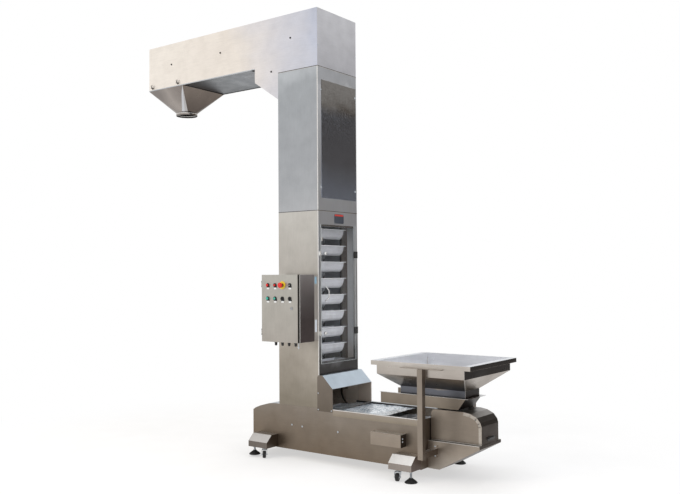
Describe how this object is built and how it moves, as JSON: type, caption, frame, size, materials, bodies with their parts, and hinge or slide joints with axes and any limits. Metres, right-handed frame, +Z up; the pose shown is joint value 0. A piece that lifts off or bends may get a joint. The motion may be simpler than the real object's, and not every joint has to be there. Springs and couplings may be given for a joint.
{
  "type": "bucket elevator",
  "caption": "Free-standing Z-type bucket elevator in satin sheet steel with hopper, shaking feed tray, clear inspection door, control cabinet and overhead discharge chute.",
  "frame": {"origin": "middle of the bounding footprint, on the floor", "axes": "+Z up, +X from the column towards the hopper, -Y the side with the control cabinet"},
  "size_m": [3.2428, 0.9189, 3.441],
  "materials": {
    "satin_steel": "satin",
    "polished_panel": "polished",
    "bucket_plastic": "matte",
    "chain_steel": "plain",
    "clear_sheet": "clear",
    "black_plastic": "matte",
    "button_plastic": "gloss",
    "red_plastic": "gloss",
    "black_rubber": "matte",
    "bright_steel": "bright"
  },
  "bodies": {
    "frame": {"base_lid": "satin_steel", "base_side_panels": "satin_steel", "base_wrap": "satin_steel", "bucket_chain": "chain_steel", "buckets": "bucket_plastic", "cabinet_mount": "satin_steel", "cabinet_shell": "satin_steel", "cable_glands": "black_plastic", "chain_rails": "chain_steel", "column_lower_casing": "satin_steel", "column_lower_face": "satin_steel", "column_upper_casing": "satin_steel", "column_upper_face": "satin_steel", "column_upper_panel": "polished_panel", "discharge_chute": "satin_steel", "feed_tray": "satin_steel", "feeder_base": "satin_steel", "feeder_housing": "satin_steel", "foot_brackets": "satin_steel", "guide_plate": "satin_steel", "head_cover": "satin_steel", "head_side_panels": "satin_steel", "head_underside": "satin_steel", "hinge_pins": "black_plastic", "hood": "satin_steel", "hopper": "satin_steel", "hopper_posts": "satin_steel", "levelling_feet": "black_rubber", "tension_cover": "satin_steel", "tray_buffers": "black_rubber"},
    "inspection_door": {"door_window": "clear_sheet", "door_hinge_moving": "black_plastic", "door_knobs": "bright_steel", "door_handle": "bright_steel"},
    "cabinet_lid": {"cabinet_door": "satin_steel", "cabinet_buttons": "button_plastic", "emergency_stop": "red_plastic"},
    "swivel_left_front": {"caster_fork_left_front": "bright_steel"},
    "wheel_left_front": {"caster_wheel_left_front": "black_rubber"},
    "swivel_left_back": {"caster_fork_left_back": "bright_steel"},
    "wheel_left_back": {"caster_wheel_left_back": "black_rubber"},
    "swivel_right_front": {"caster_fork_right_front": "bright_steel"},
    "wheel_right_front": {"caster_wheel_right_front": "black_rubber"},
    "swivel_right_back": {"caster_fork_right_back": "bright_steel"},
    "wheel_right_back": {"caster_wheel_right_back": "black_rubber"}
  },
  "joints": [
    {"name": "inspection_door_hinge", "type": "hinge", "parent": "frame", "child": "inspection_door", "pos_m": [0.31265, 0.2995, 1.261], "axis": [0, 0, 1], "range_deg": [0, 110]},
    {"name": "cabinet_lid_hinge", "type": "hinge", "parent": "frame", "child": "cabinet_lid", "pos_m": [-0.05635, -0.4105, 1.1585], "axis": [0, 0, -1], "range_deg": [0, 110]},
    {"name": "swivel_left_front", "type": "hinge", "parent": "frame", "child": "swivel_left_front", "pos_m": [-0.16235, -0.2705, 0.06], "axis": [0, 0, 1], "continuous": true},
    {"name": "roll_left_front", "type": "hinge", "parent": "swivel_left_front", "child": "wheel_left_front", "pos_m": [-0.15152, -0.28488, 0.028], "axis": [-0.7986, -0.6018, 0], "continuous": true},
    {"name": "swivel_left_back", "type": "hinge", "parent": "frame", "child": "swivel_left_back", "pos_m": [-0.16235, 0.4155, 0.06], "axis": [0, 0, 1], "continuous": true},
    {"name": "roll_left_back", "type": "hinge", "parent": "swivel_left_back", "child": "wheel_left_back", "pos_m": [-0.18035, 0.4155, 0.028], "axis": [0, 1, 0], "continuous": true},
    {"name": "swivel_right_front", "type": "hinge", "parent": "frame", "child": "swivel_right_front", "pos_m": [1.06065, -0.2705, 0.06], "axis": [0, 0, 1], "continuous": true},
    {"name": "roll_right_front", "type": "hinge", "parent": "swivel_right_front", "child": "wheel_right_front", "pos_m": [1.06561, -0.2878, 0.028], "axis": [-0.9613, -0.2756, 0], "continuous": true},
    {"name": "swivel_right_back", "type": "hinge", "parent": "frame", "child": "swivel_right_back", "pos_m": [1.06065, 0.4155, 0.06], "axis": [0, 0, 1], "continuous": true},
    {"name": "roll_right_back", "type": "hinge", "parent": "swivel_right_back", "child": "wheel_right_back", "pos_m": [1.04374, 0.42166, 0.028], "axis": [0.342, 0.9397, 0], "continuous": true}
  ]
}
